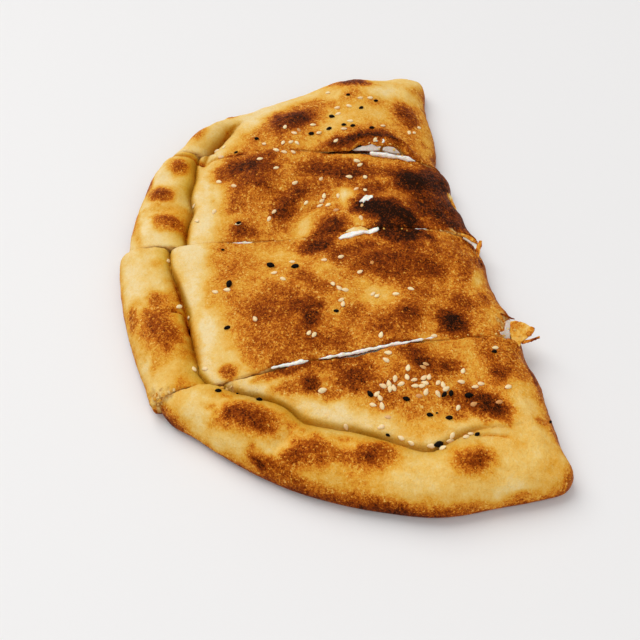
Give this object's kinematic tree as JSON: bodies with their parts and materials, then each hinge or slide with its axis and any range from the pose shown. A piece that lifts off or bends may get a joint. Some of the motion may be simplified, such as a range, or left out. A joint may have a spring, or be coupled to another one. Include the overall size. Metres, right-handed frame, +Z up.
{
  "type": "calzone",
  "caption": "Baked folded calzone with a rolled rim, cut across into slices that still lie together, with melted white cheese showing at the cuts and seeds on top.",
  "frame": {"origin": "middle of the flat underside's bounding box, on the surface that the bread lies on", "axes": "+X along the folded edge towards the blunt tip, +Y from the rolled rim to the folded edge, +Z up through the crust"},
  "size_m": [0.2478, 0.1574, 0.0209],
  "materials": {
    "crust": "dry baked dough, pale gold with brown blisters, slightly oily sheen",
    "cheese": "melted white cheese, soft satin",
    "pale_seed": "toasted sesame seed",
    "black_seed": "dull black seed"
  },
  "bodies": {
    "root": {"crust_1": "crust", "crust_2": "crust", "crust_3": "crust", "crust_4": "crust", "cheese_1": "cheese", "cheese_2": "cheese", "cheese_3": "cheese", "cheese_4": "cheese"}
  },
  "joints": []
}
